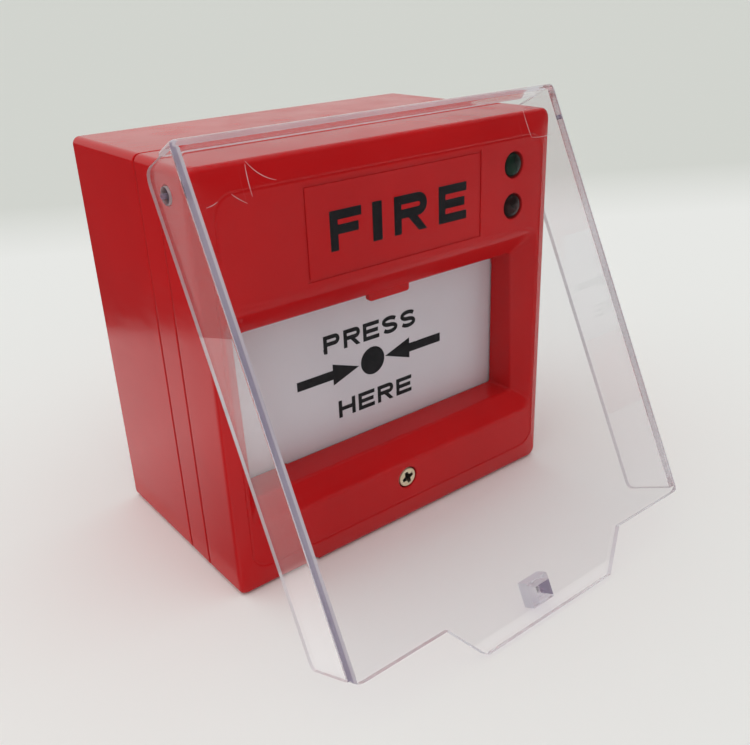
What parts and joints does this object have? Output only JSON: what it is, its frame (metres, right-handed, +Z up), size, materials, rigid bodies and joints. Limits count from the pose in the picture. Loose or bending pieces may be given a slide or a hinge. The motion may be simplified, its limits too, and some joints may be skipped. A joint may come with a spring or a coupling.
{
  "type": "manual call point",
  "caption": "Square wall-mounted manual fire call point with a sprung press plate, microswitch, terminals, signal lamps and a hinged clear protective flap.",
  "frame": {"origin": "centre of the back box's rear face, which goes against the wall", "axes": "+Y into the wall, +Z up, +X to the right as seen from the front"},
  "size_m": [0.0902, 0.0958, 0.0914],
  "materials": {
    "red_plastic": "moulded, semi-gloss",
    "clear_plastic": "clear, polished",
    "white_plastic": "moulded, satin",
    "spring_steel": "bright wire",
    "zinc_steel": "zinc plated",
    "brass": "turned",
    "green_lens": "tinted, unlit",
    "red_lens": "tinted, unlit",
    "black_plastic": "moulded, satin",
    "green_plastic": "moulded, satin",
    "board": "solder mask on glass fibre laminate",
    "resistor": "lacquered"
  },
  "bodies": {
    "housing": {"back_box": "red_plastic", "middle_frame": "red_plastic", "front_shell": "red_plastic", "plate_spring_1": "spring_steel", "plate_spring_2": "spring_steel", "plate_spring_3": "spring_steel", "plate_spring_4": "spring_steel", "plate_latch_spring": "spring_steel", "front_screw": "zinc_steel", "front_screw_insert": "brass", "frame_screw_left": "zinc_steel", "frame_screw_right": "zinc_steel", "box_insert_left": "brass", "box_insert_right": "brass", "board_screw_1": "zinc_steel", "board_screw_2": "zinc_steel", "board_screw_3": "zinc_steel", "board_screw_4": "zinc_steel", "green_lamp": "green_lens", "red_lamp": "red_lens", "green_lamp_spacer": "black_plastic", "red_lamp_spacer": "black_plastic", "circuit_board": "board", "line_resistor": "resistor", "end_of_line_resistor": "resistor", "polarity_diode": "black_plastic", "switch_body": "black_plastic", "switch_pin_1": "zinc_steel", "switch_pin_2": "zinc_steel", "switch_pin_3": "zinc_steel", "terminal_block": "green_plastic", "terminal_clamp_1": "brass", "terminal_clamp_2": "brass", "terminal_clamp_3": "brass", "terminal_clamp_4": "brass", "terminal_screw_1": "zinc_steel", "terminal_screw_2": "zinc_steel", "terminal_screw_3": "zinc_steel", "terminal_screw_4": "zinc_steel"},
    "flap": {"clear_flap": "clear_plastic"},
    "plate": {"press_plate": "white_plastic"},
    "lever": {"switch_lever": "spring_steel"},
    "plunger": {"switch_plunger": "white_plastic"}
  },
  "joints": [
    {"name": "flap_hinge", "type": "hinge", "parent": "housing", "child": "flap", "pos_m": [0, -0.0451, 0.0381], "axis": [1, 0, 0], "range_deg": [-50, 26.14]},
    {"name": "plate_press", "type": "slide", "parent": "housing", "child": "plate", "axis": [0, 1, 0], "range_m": [0, 0.0025], "stiffness_N_per_m": 1000, "springref_m": -0.003, "deforming": ["plate_spring_1", "plate_spring_2", "plate_spring_3", "plate_spring_4"]},
    {"name": "lever_pivot", "type": "hinge", "parent": "housing", "child": "lever", "pos_m": [-0.0134, -0.0423, 0.0204], "axis": [0, 0, 1], "range_deg": [0, 14]},
    {"name": "plunger_slide", "type": "slide", "parent": "housing", "child": "plunger", "axis": [0, 1, 0], "range_m": [0, 0.001]}
  ],
  "couplings": [
    {"joint": "lever_pivot", "follows": "plate_press", "rad_per_m": 97.7},
    {"joint": "plunger_slide", "follows": "plate_press", "ratio": 0.4}
  ]
}
